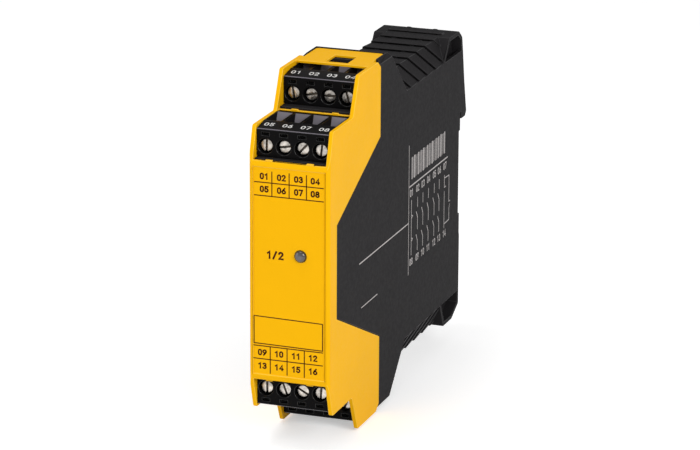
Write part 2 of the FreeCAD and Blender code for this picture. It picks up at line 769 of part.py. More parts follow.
def clamp_screw(x, turn):
    head = sided_rod(x, SCREW_HEIGHT, HEAD_SETBACK, head_rear, head_diameter / 2, HEAD_SIDES)
    shank = sided_rod(x, SCREW_HEIGHT, head_rear, bar_front - SNUG_GAP, shank_diameter / 2, SHANK_SIDES)
    slot = box(x - SLOT_WIDTH / 2, x + SLOT_WIDTH / 2, 0, HEAD_SETBACK + SLOT_DEPTH,
               SCREW_HEIGHT - head_diameter, SCREW_HEIGHT + head_diameter)
    slot.rotate(vec(x, 0, SCREW_HEIGHT), vec(0, 1, 0), turn)
    return head.fuse(shank).cut(slot).removeSplitter()


def wire_clamp(x):
    """Rising cage: the screw draws it towards its head and grips the wire against the bar."""
    half = cage_width / 2
    high = cage_low + CAGE_HEIGHT
    cage = box(x - half, x + half, cage_front, cage_rear, cage_low, high)
    window = box(x - half + CAGE_WALL, x + half - CAGE_WALL, cage_front + CAGE_PLATE, cage_rear - CAGE_BACK,
                 cage_low - 1, high + 1)
    hole = sided_rod(x, SCREW_HEIGHT, cage_front - 1, cage_front + CAGE_PLATE + 1,
                     shank_diameter / 2 + FIT_GAP, SHANK_SIDES)
    return cage.cut([window, hole])


def contact(x):
    """Current bar that stands in the cage, runs under it and ends in a socket for the pin."""
    left = x - bar_half
    right = x + bar_half
    socket_low = pin_level - bar_half
    socket_high = pin_level + bar_half
    upright = box(left, right, bar_front, bar_rear, bar_low, cage_low + CAGE_HEIGHT)
    foot = box(left, right, bar_front, socket_front, bar_low, cage_low - FIT_GAP)
    riser = box(left, right, socket_front - BAR_THICKNESS, socket_front, bar_low, socket_high)
    socket = box(left, right, socket_front, socket_rear, socket_low, socket_high)
    bore = PIN_SIZE / 2 + SNUG_GAP
    hole = box(x - bore, x + bore, socket_front, socket_rear, pin_level - bore, pin_level + bore)
    return upright.fuse([foot, riser, socket]).cut(hole).removeSplitter()


def header():
    """Tray behind a block. Its depth starts at its own front."""
    outer = box(-header_half, header_half, 0, header_length, -header_low, header_high)
    inner = box(-nose_half - FIT_GAP, nose_half + FIT_GAP, -1, NOSE_DEPTH, -FIT_GAP, NOSE_HEIGHT + FIT_GAP)
    holes = [box(x - PIN_SIZE / 2, x + PIN_SIZE / 2, 0, header_length + 1,
                 pin_level - PIN_SIZE / 2, pin_level + PIN_SIZE / 2) for x in pole_places]
    return outer.cut([inner] + holes)


def header_pin(index, grow=0.0):
    """Square pin that leaves the header and turns sideways into the board."""
    x = pole_places[index]
    half = PIN_SIZE / 2 + grow
    tip = NOSE_DEPTH - NOSE_WALL - FIT_GAP - PIN_ENTRY
    bend = header_length + PIN_LEAD + PIN_STEP * index
    straight = box(x - half, x + half, tip, bend + half, pin_level - half, pin_level + half)
    leg = box(board_back - grow, x + half, bend - half, bend + half, pin_level - half, pin_level + half)
    return straight.fuse(leg).removeSplitter()


# Board, relays and smaller pieces inside


def board_outline():
    drop = HOUSING_WALL + BOARD_MARGIN
    inner_sum = slope_sum - drop * math.sqrt(2)
    top = plug_bases["rear"] + header_high
    ceiling = shoulder - drop
    shelf = shelf_tops["front"] - TRAY_DROP - drop
    rear_shelf = shelf_tops["rear"] - TRAY_DROP - drop
    front_rise = header_rears["front"] + BOARD_MARGIN + SNUG_GAP
    rear_rise = header_rears["rear"] + BOARD_MARGIN + SNUG_GAP
    ear_start = ears["bottom"]["front"] - EAR_LEAD - BOARD_MARGIN
    return both_halves([
        (COVER_WALL + BOARD_FRONT_GAP, shelf),
        (front_rise, shelf),
        (front_rise, rear_shelf),
        (rear_rise, rear_shelf),
        (rear_rise, top),
        (inner_sum - top, top),
        (inner_sum - ceiling, ceiling),
        (ear_start, ceiling),
        (ear_start, ceiling - EAR_FLOOR),
        (board_rear, ceiling - EAR_FLOOR),
    ])


def circuit_board():
    board = prism(board_outline(), board_back, board_face)
    cuts = []
    for tier in ("front", "rear"):
        for index in range(POLES):
            pin = header_pin(index, SNUG_GAP)
            pin.translate(vec(0, header_fronts[tier], plug_bases[tier]))
            cuts.append(pin)
            cuts.append(upside_down(pin))
    return board.cut(cuts)


def relay(index):
    front = relay_front + index * RELAY_SPACING
    block = box(board_face, rear_inner - RELAY_HEADROOM, front, front + RELAY_THICKNESS,
                -RELAY_LENGTH / 2, RELAY_LENGTH / 2)
    uprights = [e for e in block.Edges if abs(e.tangentAt(e.FirstParameter).x) > 0.99]
    return block.makeChamfer(RELAY_BEVEL, uprights)


def capacitor(height):
    """Can capacitor that stands on the board on its narrower rubber seal."""
    radius = CAPACITOR_DIAMETER / 2
    middle = vec(board_face, relay_front - CAPACITOR_LEAD, height)
    seal = Part.makeCylinder(radius - CAPACITOR_NECK, CAPACITOR_SEAL, middle, vec(1, 0, 0))
    can_base = middle + vec(CAPACITOR_SEAL, 0, 0)
    can = Part.makeCylinder(radius, CAPACITOR_LENGTH - CAPACITOR_SEAL, can_base, vec(1, 0, 0))
    return seal.fuse(can)


def status_led():
    radius = LED_DIAMETER / 2
    dome_rear = radius - LED_RISE
    barrel = rod(0, 0, dome_rear, led_rear, radius)
    dome = Part.makeSphere(radius, vec(0, dome_rear, 0))
    lens = barrel.fuse(dome.common(rod(0, 0, -radius, dome_rear, radius + 1)))
    flange = rod(0, 0, COVER_WALL + 2 * SNUG_GAP, led_rear, radius + LED_FLANGE)
    led = lens.fuse(flange).removeSplitter()
    led.translate(vec(LED_ACROSS, 0, LED_HEIGHT))
    return led


def led_holder():
    half = LED_HOLDER_SIZE / 2
    return box(board_face, LED_ACROSS + half, led_rear, led_rear + LED_HOLDER_DEPTH,
               LED_HEIGHT - half, LED_HEIGHT + half)


# Rail catch and its spring


def rail_catch():
    """Sliding catch: wings that run in the channel, a grip under the rail and a pull end with an eye."""
    front = channel_front + FIT_GAP
    plate_rear = front + CATCH_PLATE
    wing_half = catch_half + CATCH_WING
    plate = box(-wing_half, wing_half, front, plate_rear, -catch_bottom, -catch_top)
    neck_level = -rail_half - RAIL_PLAY
    grip_front = seat_depth + RAIL_FLANGE + RAIL_PLAY
    grip_rear = grip_front + GRIP_THICKNESS
    grip_high = GRIP_REACH - rail_half
    pull_rear = ears["bottom"]["rear"] - SEAM_GAP
    neck = prism([
        (plate_rear, neck_level), (grip_front, neck_level), (grip_front, grip_high),
        (grip_rear - GRIP_LEAD, grip_high), (grip_rear, grip_high - GRIP_LEAD, GRIP_ROUND),
        (grip_rear, neck_level - GRIP_ROOT), (pull_rear, neck_level - GRIP_DROP),
        (pull_rear, PULL_BEVEL - catch_bottom), (pull_rear - PULL_BEVEL, -catch_bottom),
        (plate_rear, -catch_bottom),
    ], -catch_half, catch_half)
    body = plate.fuse(neck)
    gap_half = spring_outer + SEAM_GAP
    gap_low = -peg_level - PEG_HEIGHT - FIT_GAP
    window = box(-gap_half, gap_half, front - 1, DEPTH, gap_low, spring_top + SNUG_GAP)
    eye_low = EYE_RISE - catch_bottom
    eye = box(-EYE_WIDTH / 2, EYE_WIDTH / 2, front - 1, DEPTH, eye_low, eye_low + EYE_HEIGHT)
    return body.cut([window, eye]).removeSplitter()


def catch_spring():
    """Coil of short straight lengths, mitred into one another."""
    count = SPRING_TURNS * SPRING_FACETS
    half = SPRING_WIRE / 2
    middle = channel_front + spring_outer + SPRING_SETBACK
    low = -peg_level + half
    rise = (spring_top - half - low) / count
    points = []
    for i in range(count + 1):
        angle = 2 * math.pi * i / SPRING_FACETS
        depth = middle + SPRING_RADIUS * math.sin(angle)
        points.append(vec(SPRING_RADIUS * math.cos(angle), depth, low + rise * i))
    corners = [vec(-half, 0, 0), vec(0, 0, -half), vec(half, 0, 0), vec(0, 0, half)]
    section = polygon([points[0] + corner for corner in corners])
    return Part.makePolygon(points).makePipeShell([section], True, False, 1)


# Assembly


def place_plug_piece(shape, end, tier):
    """Move a piece drawn at a block's own origin to its place at the top or bottom end."""
    moved = shape.copy()
    moved.translate(vec(0, face_depths[tier], plug_bases[tier]))
    return upside_down(moved) if end == "bottom" else moved


def all_pieces():
    pieces = {
        "housing": housing(),
        "front_cover": front_cover(),
        "circuit_board": circuit_board(),
        "relay_1": relay(0),
        "relay_2": relay(1),
        "capacitor_upper": capacitor(CAPACITOR_HEIGHT),
        "capacitor_lower": capacitor(-CAPACITOR_HEIGHT),
        "status_led": status_led(),
        "led_holder": led_holder(),
        "rail_catch": rail_catch(),
        "catch_spring": catch_spring(),
    }
    body = plug_body()
    contacts = Part.makeCompound([contact(x) for x in pole_places])
    pins = Part.makeCompound([header_pin(i) for i in range(POLES)])
    header_at_plug = header()
    header_offset = vec(0, PLUG_DEPTH + FIT_GAP, 0)
    header_at_plug.translate(header_offset)
    pins.translate(header_offset)
    for end in ("top", "bottom"):
        for tier in ("front", "rear"):
            block = end + "_" + tier
            pieces["plug_" + block] = place_plug_piece(body, end, tier)
            pieces["contacts_" + block] = place_plug_piece(contacts, end, tier)
            pieces["header_" + block] = place_plug_piece(header_at_plug, end, tier)
            pieces["header_pins_" + block] = place_plug_piece(pins, end, tier)
            for i, x in enumerate(pole_places):
                number = "_" + str(i + 1)
                screw = clamp_screw(x, SLOT_TURNS[block][i])
                pieces["clamp_screw_" + block + number] = place_plug_piece(screw, end, tier)
                pieces["wire_clamp_" + block + number] = place_plug_piece(wire_clamp(x), end, tier)
    return pieces


def main():
    os.makedirs("parts", exist_ok=True)
    for name, shape in all_pieces().items():
        shape.translate(vec(0, -seat_depth, 0))
        shape.exportStep("parts/" + name + ".step")
        print(name, "volume", round(shape.Volume, 1), "solids", len(shape.Solids), "valid", shape.isValid())


main()
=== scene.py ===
import json
import math

import bmesh
import bpy
from mathutils import Matrix, Vector


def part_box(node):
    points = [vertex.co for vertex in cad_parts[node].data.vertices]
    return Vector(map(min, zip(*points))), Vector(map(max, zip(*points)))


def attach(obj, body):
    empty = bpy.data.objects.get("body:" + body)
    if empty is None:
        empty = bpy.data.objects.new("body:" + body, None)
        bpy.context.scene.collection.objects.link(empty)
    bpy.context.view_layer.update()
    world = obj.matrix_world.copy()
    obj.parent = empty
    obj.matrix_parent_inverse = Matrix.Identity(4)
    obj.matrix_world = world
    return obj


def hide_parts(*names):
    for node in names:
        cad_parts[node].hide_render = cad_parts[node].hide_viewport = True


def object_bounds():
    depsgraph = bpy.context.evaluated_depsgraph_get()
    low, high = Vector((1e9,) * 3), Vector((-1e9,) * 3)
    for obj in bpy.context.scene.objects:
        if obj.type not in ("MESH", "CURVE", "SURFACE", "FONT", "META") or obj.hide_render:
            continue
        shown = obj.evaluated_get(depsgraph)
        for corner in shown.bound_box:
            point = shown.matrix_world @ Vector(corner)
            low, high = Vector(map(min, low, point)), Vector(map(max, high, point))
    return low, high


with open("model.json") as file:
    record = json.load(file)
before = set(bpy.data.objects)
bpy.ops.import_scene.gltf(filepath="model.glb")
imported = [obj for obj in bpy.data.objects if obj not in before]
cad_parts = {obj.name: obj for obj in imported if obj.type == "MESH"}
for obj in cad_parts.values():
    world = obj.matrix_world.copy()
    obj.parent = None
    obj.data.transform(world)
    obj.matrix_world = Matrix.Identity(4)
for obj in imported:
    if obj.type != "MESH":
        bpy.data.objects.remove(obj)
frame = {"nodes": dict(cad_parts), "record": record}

bl_info = {
    "name": "Safety Relay Finish",
    "version": (1, 0, 0),
    "blender": (4, 5, 0),
    "location": "3D View > Sidebar > Safety Relay",
    "description": "Dresses the packed safety relay: moulded plastics, print, screws and studio",
    "category": "Object",
}

MM = 0.001
ENDS = ("top", "bottom")
TIERS = ("front", "rear")
POLES = (1, 2, 3, 4)

cad_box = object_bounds()


# Places read from the frame

def node_low(node):
    return Vector(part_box(node)[0])


def node_high(node):
    return Vector(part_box(node)[1])


def node_middle(node):
    return (node_low(node) + node_high(node)) / 2


def body_of(node):
    for body, nodes in frame["record"]["behaviour"]["bodies"].items():
        if node in nodes:
            return body
    raise RuntimeError("no body holds " + node)


front_face = node_low("front_cover").y
half_width = node_high("housing").x


# Sizes and colours that a user would change

class CoverSettings(bpy.types.PropertyGroup):
    colour: bpy.props.FloatVectorProperty(
        name="Colour", description="Colour of the moulded cover", subtype="COLOR",
        size=3, min=0, max=1, default=(0.94, 0.482, 0.002))
    roughness: bpy.props.FloatProperty(
        name="Roughness", description="Roughness of the cover's skin", subtype="FACTOR",
        min=0, max=1, default=0.46)
    # Lighter than the cover: a painted highlight on the rounded edges
    edge_colour: bpy.props.FloatVectorProperty(
        name="Edge colour", description="Colour of the cover's rubbed edges", subtype="COLOR",
        size=3, min=0, max=1, default=(0.96, 0.56, 0.03))
    edge: bpy.props.FloatProperty(
        name="Edge radius", description="Rounding of the moulded edges", subtype="DISTANCE",
        unit="LENGTH", default=0.11 * MM)


class HousingSettings(bpy.types.PropertyGroup):
    colour: bpy.props.FloatVectorProperty(
        name="Colour", description="Colour of the housing", subtype="COLOR",
        size=3, min=0, max=1, default=(0.0187, 0.0176, 0.0187))
    roughness: bpy.props.FloatProperty(
        name="Roughness", description="Roughness of the eroded texture", subtype="FACTOR",
        min=0, max=1, default=0.62)
    grain: bpy.props.FloatProperty(
        name="Grain", description="Size of one grain of the eroded texture",
        subtype="DISTANCE", unit="LENGTH", default=0.3 * MM)


class TerminalSettings(bpy.types.PropertyGroup):
    colour: bpy.props.FloatVectorProperty(
        name="Colour", description="Colour of the terminal blocks", subtype="COLOR",
        size=3, min=0, max=1, default=(0.0048, 0.0045, 0.0048))
    # Lighter than the blocks: painted light on the funnels' front-facing rear walls
    funnel_colour: bpy.props.FloatVectorProperty(
        name="Funnel colour", description="Colour of the polished wire funnels", subtype="COLOR",
        size=3, min=0, max=1, default=(0.15, 0.137, 0.158))
    number_size: bpy.props.FloatProperty(
        name="Number size", description="Height of the numbers on the terminal blocks",
        subtype="DISTANCE", unit="LENGTH", default=1.6 * MM)
    head_radius: bpy.props.FloatProperty(
        name="Screw head radius", description="Radius of the clamp screws' heads",
        subtype="DISTANCE", unit="LENGTH", default=1.7 * MM)
    slot_width: bpy.props.FloatProperty(
        name="Slot width", description="Width of the screwdriver slot",
        subtype="DISTANCE", unit="LENGTH", default=0.6 * MM)
    slot_depth: bpy.props.FloatProperty(
        name="Slot depth", description="Depth of the screwdriver slot",
        subtype="DISTANCE", unit="LENGTH", default=0.8 * MM)


class PrintSettings(bpy.types.PropertyGroup):
    front_ink: bpy.props.FloatVectorProperty(
        name="Front ink", description="Ink on the cover", subtype="COLOR",
        size=3, min=0, max=1, default=(0.055, 0.008, 0.002))
    side_ink: bpy.props.FloatVectorProperty(
        name="Side ink", description="Ink on the housing's side", subtype="COLOR",
        size=3, min=0, max=1, default=(0.50, 0.47, 0.46))
    terminal_ink: bpy.props.FloatVectorProperty(
        name="Terminal ink", description="Ink on the terminal blocks' label strips", subtype="COLOR",
        size=3, min=0, max=1, default=(0.75, 0.74, 0.72))
    number_size: bpy.props.FloatProperty(
        name="Number size", description="Height of the numbers on the cover",
        subtype="DISTANCE", unit="LENGTH", default=1.38 * MM)
    line_width: bpy.props.FloatProperty(
        name="Line width", description="Width of the printed lines", subtype="DISTANCE",
        unit="LENGTH", default=0.27 * MM)


class LampSettings(bpy.types.PropertyGroup):
    radius: bpy.props.FloatProperty(
        name="Lens radius", description="Radius of the status light's lens", subtype="DISTANCE",
        unit="LENGTH", default=1.6 * MM)
    colour: bpy.props.FloatVectorProperty(
        name="Lens colour", description="Colour of the smoked lens at its rim", subtype="COLOR",
        size=3, min=0, max=1, default=(0.04, 0.033, 0.03))
    # The lighter core is a painted reflection on the lens
    core_colour: bpy.props.FloatVectorProperty(
        name="Core colour", description="Colour of the hazy core of the lens", subtype="COLOR",
        size=3, min=0, max=1, default=(0.105, 0.098, 0.105))


class StageSettings(bpy.types.PropertyGroup):
    turn: bpy.props.FloatProperty(
        name="Turn", description="Camera's turn about the upright axis", subtype="ANGLE",
        unit="ROTATION", default=math.radians(19.72))
    tilt: bpy.props.FloatProperty(
        name="Tilt", description="Camera's tilt down", subtype="ANGLE", unit="ROTATION",
        default=math.radians(16.75))
    roll: bpy.props.FloatProperty(
        name="Roll", description="Camera's roll", subtype="ANGLE", unit="ROTATION",
        default=math.radians(0.253))
    lens: bpy.props.FloatProperty(
        name="Lens", description="Focal length in millimetres", default=193.0)
    distance: bpy.props.FloatProperty(
        name="Distance", description="Camera's distance", subtype="DISTANCE",
        unit="LENGTH", default=1.01795)
    key_light: bpy.props.FloatProperty(
        name="Key light", description="Power of the large soft lamp", subtype="POWER",
        unit="POWER", default=4.1)
    top_light: bpy.props.FloatProperty(
        name="Top light", description="Power of the lamp overhead", subtype="POWER",
        unit="POWER", default=1.0)
    world_light: bpy.props.FloatProperty(
        name="World light", description="Strength of the even light all round",
        default=0.46)
    floor_glow: bpy.props.FloatProperty(
        name="Floor glow", description="Light that makes the floor look white when it is seen",
        default=0.44)


# Sizes of the marks that the finishes carry
FLOW_MARK = 14 * MM
GLOSS_PATCH = 0.9 * MM
METAL_STAIN = 1.1 * MM
INK_SPECK = 0.35 * MM
# The painted reflection on the lens has a ragged edge of blots this large
LENS_REFLECTION_BLOT = 0.5 * MM
BOARD_TRACK = 4 * MM

# Middle range of a noise, which holds most of its values
NOISE_LOW = 0.35
NOISE_HIGH = 0.65


# Materials

def new_material(name):
    material = bpy.data.materials.new(name)
    material.use_nodes = True
    shader = material.node_tree.nodes["Principled BSDF"]
    return material, material.node_tree, shader


def add_node(tree, kind, **sockets):
    node = tree.nodes.new(kind)
    for socket, value in sockets.items():
        node.inputs[socket.replace("_", " ")].default_value = value
    return node


def noise_at(tree, size, detail=3.0):
    """Noise whose blots are about as large as the given size."""
    place = tree.nodes.new("ShaderNodeTexCoord")
    noise = add_node(tree, "ShaderNodeTexNoise", Scale=1 / size, Detail=detail)
    tree.links.new(place.outputs["Object"], noise.inputs["Vector"])
    return noise


def spread(tree, source, low, high):
    """Map a noise's middle range to the given limits."""
    span = add_node(tree, "ShaderNodeMapRange", From_Min=NOISE_LOW, From_Max=NOISE_HIGH,
                    To_Min=low, To_Max=high)
    tree.links.new(source, span.inputs["Value"])
    return span.outputs["Result"]


def blend(tree, shader, first, second, share):
    """Base colour that goes from the first to the second as the share goes from 0 to 1."""
    mix = tree.nodes.new("ShaderNodeMix")
    mix.data_type = "RGBA"
    mix.inputs["A"].default_value = (*first, 1)
    mix.inputs["B"].default_value = (*second, 1)
    tree.links.new(share, mix.inputs["Factor"])
    tree.links.new(mix.outputs["Result"], shader.inputs["Base Color"])


def tint(tree, shader, colour, noise, amount):
    """Vary the base colour a little, darker and lighter than its middle."""
    darker = [c * (1 - amount) for c in colour]
    lighter = [min(1, c * (1 + amount)) for c in colour]
    blend(tree, shader, darker, lighter, spread(tree, noise.outputs["Fac"], 0, 1))


def roughen(tree, shader, noise, strength, depth):
    """Raise the surface by a noise, up to the given depth."""
    bump = add_node(tree, "ShaderNodeBump", Strength=strength, Distance=depth)
    tree.links.new(noise.outputs["Fac"], bump.inputs["Height"])
    tree.links.new(bump.outputs["Normal"], shader.inputs["Normal"])


def vary_gloss(tree, shader, noise, lowest, highest):
    """Let the roughness vary with a noise between the given limits."""
    tree.links.new(spread(tree, noise.outputs["Fac"], lowest, highest), shader.inputs["Roughness"])


def moulded_plastic(name, colour, roughness, grain, depth, specular=0.5, variation=0.05):
    """Moulded plastic with an eroded skin: fine bumps, uneven gloss and faint flow marks."""
    material, tree, shader = new_material(name)
    shader.inputs["Specular IOR Level"].default_value = specular
    roughen(tree, shader, noise_at(tree, grain), strength=1.0, depth=depth)
    tint(tree, shader, colour, noise_at(tree, FLOW_MARK, detail=2.0), variation)
    vary_gloss(tree, shader, noise_at(tree, GLOSS_PATCH), roughness - 0.04, roughness + 0.05)
    return material


def worn_metal(name, colour, roughness, scratch, depth, stains=0.25):
    """Plated metal with fine scratches and uneven gloss."""
    material, tree, shader = new_material(name)
    shader.inputs["Metallic"].default_value = 1.0
    roughen(tree, shader, noise_at(tree, scratch, detail=6.0), strength=0.6, depth=depth)
    stain = noise_at(tree, METAL_STAIN)
    tint(tree, shader, colour, stain, stains)
    vary_gloss(tree, shader, stain, roughness - 0.08, roughness + 0.1)
    return material


def printing_ink(name, colour):
    """Pad-printed ink that thins here and there."""
    material, tree, shader = new_material(name)
    shader.inputs["Roughness"].default_value = 0.5
    shader.inputs["Specular IOR Level"].default_value = 0.1
    tint(tree, shader, colour, noise_at(tree, INK_SPECK, detail=2.0), amount=0.22)
    return material


def smoked_lens(name, rim_colour, core_colour, middle, radius):
    """Smoked lens of a status light that is off, with a painted reflection: a lighter core that darkens
    towards its rim.
    """
    core_edge = radius * 0.25
    rim_edge = radius * 0.95
    unevenness = radius / 8
    material, tree, shader = new_material(name)
    shader.inputs["Roughness"].default_value = 0.2
    shader.inputs["Coat Weight"].default_value = 0.5
    shader.inputs["Coat Roughness"].default_value = 0.1
    place = tree.nodes.new("ShaderNodeTexCoord")
    flat = tree.nodes.new("ShaderNodeVectorMath")
    flat.operation = "MULTIPLY"
    flat.inputs[1].default_value = (1, 0, 1)
    tree.links.new(place.outputs["Object"], flat.inputs[0])
    reach = tree.nodes.new("ShaderNodeVectorMath")
    reach.operation = "DISTANCE"
    reach.inputs[1].default_value = (middle.x, 0, middle.z)
    tree.links.new(flat.outputs["Vector"], reach.inputs[0])
    # Blots that make the edge of the painted reflection ragged
    reflection_blots = noise_at(tree, LENS_REFLECTION_BLOT, detail=2.0)
    uneven = add_node(tree, "ShaderNodeMapRange", To_Min=-unevenness, To_Max=unevenness)
    tree.links.new(reflection_blots.outputs["Fac"], uneven.inputs["Value"])
    ragged = tree.nodes.new("ShaderNodeMath")
    tree.links.new(reach.outputs["Value"], ragged.inputs[0])
    tree.links.new(uneven.outputs["Result"], ragged.inputs[1])
    rim = add_node(tree, "ShaderNodeMapRange", From_Min=core_edge, From_Max=rim_edge)
    tree.links.new(ragged.outputs["Value"], rim.inputs["Value"])
    blend(tree, shader, core_colour, rim_colour, rim.outputs["Result"])
    return material


def circuit_resist(name, colour):
    """Solder resist, tinted unevenly by the copper under it."""
    material, tree, shader = new_material(name)
    shader.inputs["Roughness"].default_value = 0.35
    tint(tree, shader, colour, noise_at(tree, BOARD_TRACK, detail=0.0), amount=0.35)
    return material


# Angles that tell flat faces, smooth bends and true edges apart
COPLANAR = math.radians(1.5)
SMOOTH_BEND = math.radians(20)
TRUE_EDGE = math.radians(35)

# Points as near as this are one: those of a CAD piece, and the two ends of a closed line
WELD = 0.002 * MM
SAME_POINT = 0.001 * MM


# Mesh helpers

def link_piece(name, mesh, material, body):
    piece = bpy.data.objects.new(name, mesh)
    bpy.context.scene.collection.objects.link(piece)
    mesh.materials.clear()
    mesh.materials.append(material)
    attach(piece, body)
    return piece


def mesh_from(work, name):
    mesh = bpy.data.meshes.new(name)
    work.to_mesh(mesh)
    work.free()
    return mesh


def revolved(profile, steps):
    """Solid of a half section turned about the front-to-rear axis, on which the section starts and ends."""
    work = bmesh.new()
    angles = [math.tau * step / steps for step in range(steps)]
    rings = []
    for radius, depth in profile[1:-1]:
        rings.append([work.verts.new((radius * math.cos(a), depth, radius * math.sin(a))) for a in angles])
    front = work.verts.new((0, profile[0][1], 0))
    rear = work.verts.new((0, profile[-1][1], 0))
    for k in range(steps):
        after = (k + 1) % steps
        work.faces.new((front, rings[0][k], rings[0][after]))
        for near, far in zip(rings, rings[1:]):
            work.faces.new((near[k], far[k], far[after], near[after]))
        work.faces.new((rear, rings[-1][after], rings[-1][k]))
    bmesh.ops.recalc_face_normals(work, faces=work.faces)
    return work


def dress(node, material):
    """Give a CAD piece its material."""
    materials = frame["nodes"][node].data.materials
    materials.clear()
    materials.append(material)


def rounded_copy(node, material, edge_material, width):
    """Copy of a CAD piece with its sharp edges rounded and given the glossier edge material, shown in its
    place. A lighter edge colour is a painted highlight.
    """
    work = bmesh.new()
    work.from_mesh(frame["nodes"][node].data)
    bmesh.ops.remove_doubles(work, verts=work.verts, dist=WELD)
    bmesh.ops.dissolve_limit(work, angle_limit=COPLANAR, verts=work.verts, edges=work.edges)
    piece = link_piece(node + "_finish", mesh_from(work, node + "_finish"), material, body_of(node))
    piece.data.materials.append(edge_material)
    bevel = piece.modifiers.new("moulded_edges", "BEVEL")
    bevel.material = 1
    bevel.width = width
    bevel.segments = 2
    bevel.limit_method = "ANGLE"
    bevel.angle_limit = TRUE_EDGE
    bevel.use_clamp_overlap = False
    piece.data.shade_smooth()
    piece.data.set_sharp_from_angle(angle=SMOOTH_BEND)
    flat = piece.modifiers.new("flat_faces", "WEIGHTED_NORMAL")
    flat.keep_sharp = True
    flat.weight = 100
    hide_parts(node)
    return piece


RIGHT = Vector((1, 0, 0))
REARWARD = Vector((0, 1, 0))
UPWARD = Vector((0, 0, 1))
INK_DEPTH = 0.02 * MM

# Smallest cosine that a mitre is cut for, so that a sharp bend of a line grows no spike
MITRE_LIMIT = 0.6


def stroke(work, points, width, normal, closed=False):
    """Printed line of even width through points of a face, mitred at its bends."""
    count = len(points)
    sections = []
    for i, point in enumerate(points):
        ways = []
        if i > 0 or closed:
            ways.append((point - points[i - 1]).normalized())
        if i < count - 1 or closed:
            ways.append((points[(i + 1) % count] - point).normalized())
        along = sum(ways, Vector()).normalized()
        across = normal.cross(along) * (width / 2 / max(MITRE_LIMIT, along.dot(ways[0])))
        if len(ways) == 1:
            point = point + along * (width / 2 if i else -width / 2)
        rise = normal * INK_DEPTH
        corners = (point - across, point + across, point + across + rise, point - across + rise)
        sections.append([work.verts.new(corner) for corner in corners])
    pairs = list(zip(sections, sections[1:]))
    if closed:
        pairs.append((sections[-1], sections[0]))
    for near, far in pairs:
        for k in range(4):
            work.faces.new((near[k], far[k], far[(k + 1) % 4], near[(k + 1) % 4]))
    if not closed:
        work.faces.new(sections[0])
        work.faces.new(reversed(sections[-1]))


def arc(across, up, radius_across, radius_up, start, stop, steps):
    """Points of an arc of a figure, from one angle to the other in degrees."""
    angles = [math.radians(start + (stop - start) * i / steps) for i in range(steps + 1)]
    return [(across + radius_across * math.cos(a), up + radius_up * math.sin(a)) for a in angles]


FIGURE_WIDTH = 0.6
FIGURE_STEP = 0.84

# Strokes of the plain technical figures, in a field one high. The nine is the six turned half round
SIX = [arc(0.30, 0.29, 0.27, 0.29, 162, -198, 18), [(0.46, 1.0), (0.17, 0.66), (0.045, 0.38)]]
FIGURES = {
    "0": [arc(0.30, 0.71, 0.25, 0.29, 180, 0, 8) + arc(0.30, 0.29, 0.25, 0.29, 0, -180, 8) + [(0.05, 0.71)]],
    "1": [[(0.12, 0.78), (0.36, 1.0), (0.36, 0.0)]],
    "2": [arc(0.29, 0.73, 0.25, 0.27, 165, -25, 9) + [(0.05, 0.0), (0.56, 0.0)]],
    "3": [arc(0.28, 0.75, 0.24, 0.25, 150, -80, 9), arc(0.28, 0.27, 0.27, 0.27, 82, -152, 10)],
    "4": [[(0.46, 0.0), (0.46, 1.0), (0.03, 0.26), (0.60, 0.26)]],
    "5": [[(0.52, 1.0), (0.11, 1.0), (0.07, 0.55)] + arc(0.28, 0.31, 0.27, 0.31, 118, -150, 11)],
    "6": SIX,
    "7": [[(0.03, 1.0), (0.56, 1.0), (0.22, 0.0)]],
    "8": [arc(0.30, 0.76, 0.22, 0.24, -90, 270, 14), arc(0.30, 0.27, 0.27, 0.27, 90, -270, 16)],
    "9": [[(FIGURE_WIDTH - across, 1 - up) for across, up in path] for path in SIX],
    "/": [[(0.06, -0.02), (0.46, 1.02)]],
}


def two_figures(number):
    return str(number).zfill(2)


def write(work, text, height, centre, right, up, weight=0.29, spread=1.12):
    """Plain upright figures, centred on a point of a face and spread a little wide."""
    normal = right.cross(up)
    start = -(FIGURE_STEP * (len(text) - 1) + FIGURE_WIDTH) / 2
    for place, figure in enumerate(text):
        for path in FIGURES[figure]:
            points = []
            for across, level in path:
                offset = right * spread * (start + FIGURE_STEP * place + across) + up * (level - 0.5)
                points.append(centre + offset * height)
            closed = (points[0] - points[-1]).length < SAME_POINT
            if closed:
                points.pop()
            stroke(work, points, height * weight, normal, closed)


# Operators, one for each piece or group of like pieces

class RELAY_OT_housing(bpy.types.Operator):
    """Give the louvred housing its eroded black skin and rounded edges"""
    bl_idname = "relay.housing"
    bl_label = "Finish Housing"

    def execute(self, context):
        settings = context.scene.relay_housing
        skin = moulded_plastic("housing_plastic", settings.colour, settings.roughness, settings.grain,
                               depth=0.012 * MM, specular=0.04, variation=0.03)
        edges = moulded_plastic("housing_edges", settings.colour, roughness=0.42, grain=settings.grain,
                                depth=0.006 * MM, specular=0.2, variation=0.2)
        rounded_copy("housing", skin, edges, width=0.12 * MM)
        return {"FINISHED"}


class RELAY_OT_cover(bpy.types.Operator):
    """Give the snap-on cover its yellow skin and rounded edges"""
    bl_idname = "relay.cover"
    bl_label = "Finish Cover"

    def execute(self, context):
        settings = context.scene.relay_cover
        skin = moulded_plastic("cover_plastic", settings.colour, settings.roughness, grain=0.3 * MM,
                               depth=0.006 * MM, specular=0.05, variation=0.012)
        # Cover's edges: glossier, and painted lighter as a highlight
        edges = moulded_plastic("cover_edge_highlight", settings.edge_colour, roughness=0.38, grain=0.3 * MM,
                                depth=0.003 * MM, specular=0.3, variation=0.03)
        rounded_copy("front_cover", skin, edges, settings.edge)
        return {"FINISHED"}


